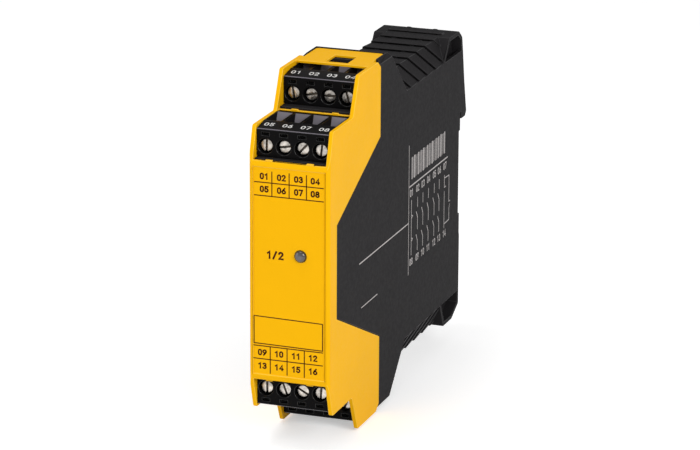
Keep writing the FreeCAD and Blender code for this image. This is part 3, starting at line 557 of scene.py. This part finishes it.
class RELAY_OT_terminal_blocks(bpy.types.Operator):
    """Finish the four pluggable blocks, the trays they plug into and their metal"""
    bl_idname = "relay.terminal_blocks"
    bl_label = "Finish Terminal Blocks"

    # The normal of a funnel's rear wall points at least this far forwards, and up or down; such walls get the
    # painted light
    forward_lean = 0.3
    upright_lean = 0.5

    def polish_funnels(self, mesh):
        """Give the rear walls of the wire funnels, which lean to the front, the third material: a lighter
        grey painted on as the light they catch.
        """
        for face in mesh.polygons:
            if face.normal.y < -self.forward_lean and abs(face.normal.z) > self.upright_lean:
                face.material_index = 2

    def execute(self, context):
        settings = context.scene.relay_terminals
        plastic = moulded_plastic("terminal_plastic", settings.colour, roughness=0.34, grain=0.35 * MM,
                                  depth=0.005 * MM, specular=0.03, variation=0.1)
        edges = moulded_plastic("terminal_edges", settings.colour, roughness=0.28, grain=0.35 * MM,
                                depth=0.002 * MM, specular=0.5, variation=0.2)
        # Painted light: a lighter grey for the funnels' rear walls, standing in for the light and reflection
        # they catch
        funnel_light_paint = moulded_plastic("painted_funnel_light", settings.funnel_colour, roughness=0.36, grain=0.5 * MM,
                                 depth=0.002 * MM, specular=0.1, variation=0.12)
        tin = worn_metal("tinned_contacts", (0.62, 0.60, 0.56), roughness=0.3, scratch=0.15 * MM,
                         depth=0.004 * MM)
        clamp = worn_metal("plated_clamps", (0.56, 0.55, 0.54), roughness=0.36, scratch=0.12 * MM,
                           depth=0.006 * MM)
        for end in ENDS:
            for tier in TIERS:
                block = end + "_" + tier
                plug = rounded_copy("plug_" + block, plastic, edges, width=0.09 * MM)
                plug.data.materials.append(funnel_light_paint)
                self.polish_funnels(plug.data)
                dress("header_" + block, plastic)
                dress("contacts_" + block, tin)
                dress("header_pins_" + block, tin)
                for pole in POLES:
                    dress("wire_clamp_" + block + "_" + str(pole), clamp)
        return {"FINISHED"}


class RELAY_OT_clamp_screws(bpy.types.Operator):
    """Fit the slotted clamp screws with worn, slightly domed heads"""
    bl_idname = "relay.clamp_screws"
    bl_label = "Fit Clamp Screws"

    # Turned position of each slot, in degrees from upright
    turns = {
        "top_rear": (-10, 78, 88, -14), "top_front": (2, 80, 42, 7),
        "bottom_front": (0, -20, -62, 3), "bottom_rear": (-35, 75, -15, 22),
    }

    head_height = 1.55 * MM
    crown = 0.06 * MM
    rim = 0.22 * MM
    rim_steps = 4
    shank_radius = 1.22 * MM
    screw_length = 5.9 * MM
    round_steps = 56

    broken_edge = 0.05 * MM
    broken_angle = math.radians(50)

    # The slot's walls and floor, which get the painted shade, lie between these depths, and within this share
    # of the head's radius
    slot_from = 0.25 * MM
    slot_to = 1.2 * MM
    slot_reach = 0.97

    def head_profile(self, radius):
        """Half section of the crowned head and its shank, from the head's middle outwards and back."""
        points = [(0, -self.crown), (radius * 0.5, -self.crown * 0.75), (radius - self.rim, 0)]
        for step in range(1, self.rim_steps + 1):
            angle = math.radians(90 * step / self.rim_steps)
            points.append((radius - self.rim + self.rim * math.sin(angle), self.rim * (1 - math.cos(angle))))
        points += [(radius, self.head_height), (self.shank_radius, self.head_height)]
        return points + [(self.shank_radius, self.screw_length), (0, self.screw_length)]

    def slotted(self, mesh, settings, turn):
        """Head with its slot milled at the given turn and its edges broken."""
        blank = bpy.data.objects.new("screw_blank", mesh.copy())
        cutter_work = bmesh.new()
        bmesh.ops.create_cube(cutter_work, size=1.0)
        size = Vector((settings.slot_width, 2 * settings.slot_depth, 4 * settings.head_radius))
        bmesh.ops.scale(cutter_work, vec=size, verts=cutter_work.verts)
        bmesh.ops.rotate(cutter_work, cent=(0, 0, 0), matrix=Matrix.Rotation(math.radians(turn), 3, "Y"),
                         verts=cutter_work.verts)
        cutter = bpy.data.objects.new("slot_cutter", mesh_from(cutter_work, "slot_cutter"))
        for part in (blank, cutter):
            bpy.context.scene.collection.objects.link(part)
        cut = blank.modifiers.new("slot", "BOOLEAN")
        cut.operation = "DIFFERENCE"
        cut.object = cutter
        cut.solver = "EXACT"
        bevel = blank.modifiers.new("broken_edges", "BEVEL")
        bevel.width = self.broken_edge
        bevel.segments = 2
        bevel.angle_limit = self.broken_angle
        bpy.context.view_layer.update()
        graph = bpy.context.evaluated_depsgraph_get()
        done = bpy.data.meshes.new_from_object(blank.evaluated_get(graph))
        for part in (blank, cutter):
            old = part.data
            bpy.data.objects.remove(part)
            bpy.data.meshes.remove(old)
        return done

    def darken_slot(self, mesh, head_front, radius):
        """Give the slot's floor and walls, below the head's rim, the second material: a dark painted shade.
        """
        for face in mesh.polygons:
            place = face.center - head_front
            inside = math.hypot(place.x, place.z) < radius * self.slot_reach
            if inside and self.slot_from < place.y < self.slot_to:
                face.material_index = 1

    def execute(self, context):
        settings = context.scene.relay_terminals
        steel = worn_metal("plated_screws", (0.60, 0.56, 0.51), roughness=0.33, scratch=0.18 * MM,
                           depth=0.02 * MM, stains=0.42)
        # Painted shade: a dark brown metal for the inside of the slots
        slot_shade_metal = worn_metal("painted_slot_shade", (0.17, 0.145, 0.12), roughness=0.6, scratch=0.18 * MM,
                          depth=0.01 * MM)
        profile = self.head_profile(settings.head_radius)
        blank = mesh_from(revolved(profile, self.round_steps), "clamp_screw")
        for block, turns in self.turns.items():
            for pole, turn in zip(POLES, turns):
                node = "clamp_screw_" + block + "_" + str(pole)
                mesh = self.slotted(blank, settings, turn)
                middle = node_middle(node)
                head_front = Vector((middle.x, node_low(node).y, middle.z))
                mesh.transform(Matrix.Translation(head_front))
                mesh.shade_smooth()
                mesh.set_sharp_from_angle(angle=TRUE_EDGE)
                piece = link_piece(node + "_finish", mesh, steel, body_of(node))
                mesh.materials.append(slot_shade_metal)
                self.darken_slot(mesh, head_front, settings.head_radius)
                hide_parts(node)
        return {"FINISHED"}


class RELAY_OT_status_light(bpy.types.Operator):
    """Fit the domed lens of the status light"""
    bl_idname = "relay.status_light"
    bl_label = "Fit Status Light"

    dome_flatness = 0.62
    dome_steps = 12
    round_steps = 48
    sharp_from = math.radians(40)

    def execute(self, context):
        settings = context.scene.relay_lamp
        low = node_low("status_led")
        high = node_high("status_led")
        middle = node_middle("status_led")
        radius = settings.radius
        rise = radius * self.dome_flatness
        profile = []
        for step in range(self.dome_steps + 1):
            angle = math.radians(90 * step / self.dome_steps)
            profile.append((radius * math.sin(angle), low.y + rise * (1 - math.cos(angle))))
        profile += [(radius, high.y), (0, high.y)]
        work = revolved(profile, self.round_steps)
        bmesh.ops.translate(work, verts=work.verts, vec=(middle.x, 0, middle.z))
        mesh = mesh_from(work, "status_lens")
        mesh.shade_smooth()
        mesh.set_sharp_from_angle(angle=self.sharp_from)
        smoked_painted_lens = smoked_lens("smoked_lens", settings.colour, settings.core_colour, middle, radius)
        lens = link_piece("status_lens", mesh, smoked_painted_lens, "base")
        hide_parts("status_led")
        return {"FINISHED"}


class RELAY_OT_rail_catch(bpy.types.Operator):
    """Finish the rail catch and its spring"""
    bl_idname = "relay.rail_catch"
    bl_label = "Finish Rail Catch"

    def execute(self, context):
        settings = context.scene.relay_housing
        plastic = moulded_plastic("catch_plastic", settings.colour, roughness=0.45, grain=0.3 * MM,
                                  depth=0.006 * MM, variation=0.1)
        wire = worn_metal("spring_wire", (0.4, 0.4, 0.41), roughness=0.28, scratch=0.1 * MM,
                          depth=0.003 * MM)
        rounded_copy("rail_catch", plastic, plastic, width=0.05 * MM)
        dress("catch_spring", wire)
        return {"FINISHED"}


class RELAY_OT_insides(bpy.types.Operator):
    """Finish the board, relays and smaller pieces inside"""
    bl_idname = "relay.insides"
    bl_label = "Finish Insides"

    def execute(self, context):
        dress("circuit_board", circuit_resist("solder_resist", (0.012, 0.10, 0.035)))
        case = moulded_plastic("relay_case", (0.62, 0.60, 0.55), roughness=0.4, grain=0.5 * MM,
                               depth=0.004 * MM)
        dress("relay_1", case)
        dress("relay_2", case)
        can = worn_metal("capacitor_can", (0.66, 0.67, 0.70), roughness=0.3, scratch=0.2 * MM,
                         depth=0.004 * MM)
        dress("capacitor_upper", can)
        dress("capacitor_lower", can)
        holder = moulded_plastic("holder_plastic", (0.6, 0.6, 0.58), roughness=0.5, grain=0.4 * MM,
                                 depth=0.004 * MM)
        dress("led_holder", holder)
        return {"FINISHED"}


class RELAY_OT_front_print(bpy.types.Operator):
    """Print the terminal tables and the blank writing field on the cover"""
    bl_idname = "relay.front_print"
    bl_label = "Print Front"

    # In millimetres: how far the panel is recessed, and places to the right of its middle and above it
    panel_recess = 0.25
    upper_table = {
        "columns": (-6.9, -2.1, 2.65, 7.25), "rows": (26.0, 22.5), "first_numbers": (1, 5),
        "lines": ((-9.6, 24.3, 9.5, 24.3), (-9.6, 20.7, 9.5, 20.7)),
        "rules": (-4.75, 0.05, 4.85), "rule_ends": (27.3, 20.7),
    }
    lower_table = {
        "columns": (-7.55, -2.85, 1.95, 6.7), "rows": (-22.45, -26.15), "first_numbers": (9, 13),
        "lines": ((-9.9, -20.65, 9.4, -20.65), (-10.0, -24.25, 9.35, -24.25)),
        "rules": (-5.3, -0.55, 4.3), "rule_ends": (-20.65, -28.0),
    }
    writing_field = ((-9.85, -12.45), (9.4, -12.75), (9.4, -20.15), (-9.85, -20.0))
    label_place = (-3.9, 4.75)
    label_size = 1.75

    def execute(self, context):
        settings = context.scene.relay_print
        panel = front_face + self.panel_recess * MM
        work = bmesh.new()

        def at(x, z):
            return Vector((x * MM, panel, z * MM))

        def line(x0, z0, x1, z1):
            stroke(work, [at(x0, z0), at(x1, z1)], settings.line_width, -REARWARD)

        for table in (self.upper_table, self.lower_table):
            for ends in table["lines"]:
                line(*ends)
            top, bottom = table["rule_ends"]
            for x in table["rules"]:
                line(x, top, x, bottom)
            for z, first in zip(table["rows"], table["first_numbers"]):
                for i, x in enumerate(table["columns"]):
                    write(work, two_figures(first + i), settings.number_size, at(x, z), RIGHT, UPWARD)
        field = [at(x, z) for x, z in self.writing_field]
        stroke(work, field, settings.line_width, -REARWARD, closed=True)
        write(work, "1/2", self.label_size * MM, at(*self.label_place), RIGHT, UPWARD)
        mesh = mesh_from(work, "front_print")
        link_piece("front_print", mesh, printing_ink("front_ink", settings.front_ink), "base")
        return {"FINISHED"}


class RELAY_OT_side_print(bpy.types.Operator):
    """Print the contact diagram and its dividing lines on the right side"""
    bl_idname = "relay.side_print"
    bl_label = "Print Side"

    # In millimetres, behind the front and above the middle. A divider has two ends and a width
    dividers = (
        (64.0, 19.3, 64.0, -17.8, 0.24), (64.0, 7.4, 97.7, 7.4, 0.36),
        (23.7, -2.85, 63.9, -2.85, 0.32), (25.4, -15.6, 38.0, -15.6, 0.26),
    )
    bar_field = (66.6, 94.9)
    bar_ends = (15.2, 9.5)
    bar_count = 27
    bar_widths = (0.6, 0.24, 0.8, 0.34, 0.24, 0.66, 0.3)
    columns = (66.3, 71.6, 76.2, 81.0, 86.1, 90.5, 95.4)
    path_width = 0.26
    number_rows = ((1, 5.35), (8, -14.6))
    number_size = 1.75

    def execute(self, context):
        settings = context.scene.relay_print
        work = bmesh.new()

        def at(d, z):
            return Vector((half_width, front_face + d * MM, z * MM))

        def line(d0, z0, d1, z1, width):
            stroke(work, [at(d0, z0), at(d1, z1)], width * MM, RIGHT)

        for divider in self.dividers:
            line(*divider)
        start, stop = self.bar_field
        top, bottom = self.bar_ends
        for i in range(self.bar_count):
            place = start + (stop - start) * i / (self.bar_count - 1)
            line(place, top, place, bottom, self.bar_widths[i % len(self.bar_widths)])
        for i, place in enumerate(self.columns):
            for path in self.contact_paths(i):
                points = [at(place + across, level) for across, level in path]
                stroke(work, points, self.path_width * MM, RIGHT)
            for first, level in self.number_rows:
                write(work, two_figures(first + i), self.number_size * MM, at(place, level), REARWARD, UPWARD,
                      weight=0.17, spread=0.98)
        mesh = mesh_from(work, "side_print")
        link_piece("side_print", mesh, printing_ink("side_ink", settings.side_ink), "base")
        return {"FINISHED"}

    def contact_paths(self, index):
        """Strokes of one contact path, measured back from its column and up from the middle."""
        if index == 0:
            return [
                [(0, 3.1), (0, -12.6)],
                [(0, -1.1), (1.2, -1.6), (0, -2.2)],
                [(0, -7.7), (1.2, -8.2), (0, -8.8)],
            ]
        if index == len(self.columns) - 1:
            return [
                [(-0.3, 2.6), (-0.3, -0.9), (0.9, -0.9)],
                [(-0.3, -2.2), (-0.3, -11.8), (4.1, -11.6), (4.1, -8.2), (4.7, -7.2)],
                [(-0.3, 1.8), (3.9, 1.6), (3.9, -6.2), (4.9, -6.2)],
                [(-0.3, -11.8), (-0.3, -12.9)],
            ]
        return [
            [(0, 2.6), (0, 0.0)],
            [(-1.1, -1.3), (0, -3.1), (0, -6.5)],
            [(-1.1, -8.0), (0, -9.8), (0, -12.6)],
        ]


class RELAY_OT_terminal_print(bpy.types.Operator):
    """Print the numbers on the label strips of the terminal blocks"""
    bl_idname = "relay.terminal_print"
    bl_label = "Print Terminal Numbers"

    first_numbers = {"top_rear": 1, "top_front": 5, "bottom_front": 9, "bottom_rear": 13}

    # The strip leans outwards from front to rear, and the numbers stand a little behind its middle
    strip_front = 0.3 * MM
    strip_depth = 5.0 * MM
    strip_rise = 0.8 * MM
    number_place = 0.55

    def execute(self, context):
        settings = context.scene.relay_terminals
        ink = printing_ink("terminal_ink", context.scene.relay_print.terminal_ink)
        for block, first in self.first_numbers.items():
            node = "plug_" + block
            sign = 1 if block.startswith("top") else -1
            outer = node_high(node).z if sign > 0 else node_low(node).z
            depth = node_low(node).y + self.strip_front + self.strip_depth * self.number_place
            height = outer - sign * self.strip_rise * (1 - self.number_place)
            up = sign * Vector((0, self.strip_depth, sign * self.strip_rise)).normalized()
            work = bmesh.new()
            for index, pole in enumerate(POLES):
                middle = node_middle("clamp_screw_" + block + "_" + str(pole))
                centre = Vector((middle.x, depth, height))
                write(work, two_figures(first + index), settings.number_size, centre, RIGHT, up, weight=0.17)
            name = "terminal_numbers_" + block
            link_piece(name, mesh_from(work, name), ink, body_of(node))
        return {"FINISHED"}


class RELAY_OT_stage(bpy.types.Operator):
    """Set the pale floor, the soft studio light and the camera"""
    bl_idname = "relay.stage"
    bl_label = "Set Stage"

    # The camera looks at a point behind the front, and is then slid right and up to frame the relay
    aim_depth = 40 * MM
    aim_height = 0.5 * MM
    slide_right = 2.505 * MM
    slide_up = 1.681 * MM
    sensor_width = 36

    # The lamps shine at a point behind the front. The overhead lamp is placed from that point
    light_depth = 50 * MM
    key_place = Vector((0.66, -0.54, 0.40))
    key_size = 0.5
    fill_place = Vector((-0.7, -0.5, 0.25))
    fill_size = 0.6
    fill_share = 0.4
    overhead_offset = Vector((-0.12, -0.12, 0.62))
    overhead_size = 0.3

    floor_size = 9.0
    floor_gap = 0.5 * MM
    floor_shade = 0.88

    def camera_axes(self, settings):
        """Right, up and forward directions of the camera."""
        turn = settings.turn
        tilt = settings.tilt
        forward = Vector((-math.sin(turn) * math.cos(tilt), math.cos(turn) * math.cos(tilt), -math.sin(tilt)))
        right = Vector((math.cos(turn), math.sin(turn), 0))
        up = right.cross(forward)
        rolled_right = right * math.cos(settings.roll) + up * math.sin(settings.roll)
        rolled_up = up * math.cos(settings.roll) - right * math.sin(settings.roll)
        return rolled_right, rolled_up, forward

    def place_camera(self, settings):
        right, up, forward = self.camera_axes(settings)
        aim = Vector((0, front_face + self.aim_depth, self.aim_height))
        place = aim - forward * settings.distance + right * self.slide_right + up * self.slide_up
        data = bpy.data.cameras.new("photo_camera")
        data.lens = settings.lens
        data.sensor_width = self.sensor_width
        data.clip_start = 0.01
        camera = bpy.data.objects.new("photo_camera", data)
        turn = Matrix((right, up, -forward)).transposed().to_4x4()
        camera.matrix_world = Matrix.Translation(place) @ turn
        bpy.context.scene.collection.objects.link(camera)
        bpy.context.scene.camera = camera

    def soft_lamp(self, name, place, target, size, power):
        data = bpy.data.lights.new(name, "AREA")
        data.shape = "DISK"
        data.size = size
        data.energy = power
        lamp = bpy.data.objects.new(name, data)
        away = (place - target).normalized()
        lamp.matrix_world = Matrix.Translation(place) @ away.to_track_quat("Z", "Y").to_matrix().to_4x4()
        bpy.context.scene.collection.objects.link(lamp)

    def seen_directly(self, tree):
        """1 for a ray from the camera, or one seen in metal or glass, and 0 for a ray that lights."""
        path = tree.nodes.new("ShaderNodeLightPath")
        seen = path.outputs["Is Camera Ray"]
        for ray in ("Is Glossy Ray", "Is Transmission Ray"):
            either = tree.nodes.new("ShaderNodeMath")
            either.operation = "MAXIMUM"
            tree.links.new(seen, either.inputs[0])
            tree.links.new(path.outputs[ray], either.inputs[1])
            seen = either.outputs["Value"]
        return seen

    def level_by_ray(self, tree, lighting, looking, socket):
        """Give the socket one level for rays that light and another for rays that are seen."""
        level = add_node(tree, "ShaderNodeMapRange", To_Min=lighting, To_Max=looking)
        tree.links.new(self.seen_directly(tree), level.inputs["Value"])
        tree.links.new(level.outputs["Result"], socket)

    def white_floor(self, glow):
        """Floor that looks white when seen and still takes the relay's shadow."""
        work = bmesh.new()
        bmesh.ops.create_grid(work, x_segments=8, y_segments=8, size=self.floor_size)
        mesh = mesh_from(work, "floor")
        floor = bpy.data.objects.new("floor", mesh)
        floor.location.z = cad_box[0][2] - self.floor_gap
        material, tree, shader = new_material("pale_floor")
        shader.inputs["Base Color"].default_value = (*[self.floor_shade] * 3, 1)
        shader.inputs["Roughness"].default_value = 0.9
        shader.inputs["Specular IOR Level"].default_value = 0.1
        shader.inputs["Emission Color"].default_value = (1, 1, 1, 1)
        self.level_by_ray(tree, 0, glow, shader.inputs["Emission Strength"])
        mesh.materials.append(material)
        bpy.context.scene.collection.objects.link(floor)

    def even_world(self, strength):
        world = bpy.data.worlds.new("studio")
        world.use_nodes = True
        back = world.node_tree.nodes["Background"]
        back.inputs["Color"].default_value = (1, 1, 1, 1)
        back.inputs["Strength"].default_value = strength
        bpy.context.scene.world = world

    def execute(self, context):
        settings = context.scene.relay_stage
        context.scene.view_settings.view_transform = "Standard"
        self.place_camera(settings)
        target = Vector((0, front_face + self.light_depth, 0))
        above = target + self.overhead_offset
        self.soft_lamp("key", self.key_place, target, self.key_size, settings.key_light)
        self.soft_lamp("fill", self.fill_place, target, self.fill_size, settings.key_light * self.fill_share)
        self.soft_lamp("overhead", above, target, self.overhead_size, settings.top_light)
        self.white_floor(settings.floor_glow)
        self.even_world(settings.world_light)
        return {"FINISHED"}


class RELAY_PT_finish(bpy.types.Panel):
    """Settings and steps of the relay's finish"""
    bl_idname = "RELAY_PT_finish"
    bl_label = "Safety Relay"
    bl_space_type = "VIEW_3D"
    bl_region_type = "UI"
    bl_category = "Safety Relay"

    def draw(self, context):
        layout = self.layout
        for name in SETTINGS:
            group = getattr(context.scene, name)
            box = layout.box()
            for key in group.bl_rna.properties.keys():
                if key not in ("rna_type", "name"):
                    box.prop(group, key)
        for operator in OPERATORS:
            layout.operator(operator.bl_idname)


SETTINGS = {
    "relay_cover": CoverSettings, "relay_housing": HousingSettings, "relay_terminals": TerminalSettings,
    "relay_print": PrintSettings, "relay_lamp": LampSettings, "relay_stage": StageSettings,
}
OPERATORS = (
    RELAY_OT_stage, RELAY_OT_housing, RELAY_OT_cover, RELAY_OT_terminal_blocks, RELAY_OT_clamp_screws,
    RELAY_OT_status_light, RELAY_OT_rail_catch, RELAY_OT_insides, RELAY_OT_front_print,
    RELAY_OT_side_print, RELAY_OT_terminal_print,
)


def register():
    for name, group in SETTINGS.items():
        bpy.utils.register_class(group)
        setattr(bpy.types.Scene, name, bpy.props.PointerProperty(type=group))
    for operator in OPERATORS:
        bpy.utils.register_class(operator)
    bpy.utils.register_class(RELAY_PT_finish)


def unregister():
    bpy.utils.unregister_class(RELAY_PT_finish)
    for operator in reversed(OPERATORS):
        bpy.utils.unregister_class(operator)
    for name, group in SETTINGS.items():
        delattr(bpy.types.Scene, name)
        bpy.utils.unregister_class(group)


def main():
    register()
    bpy.ops.relay.stage()
    bpy.ops.relay.housing()
    bpy.ops.relay.cover()
    bpy.ops.relay.terminal_blocks()
    bpy.ops.relay.clamp_screws()
    bpy.ops.relay.status_light()
    bpy.ops.relay.rail_catch()
    bpy.ops.relay.insides()
    bpy.ops.relay.front_print()
    bpy.ops.relay.side_print()
    bpy.ops.relay.terminal_print()


if __name__ == "__main__":
    main()
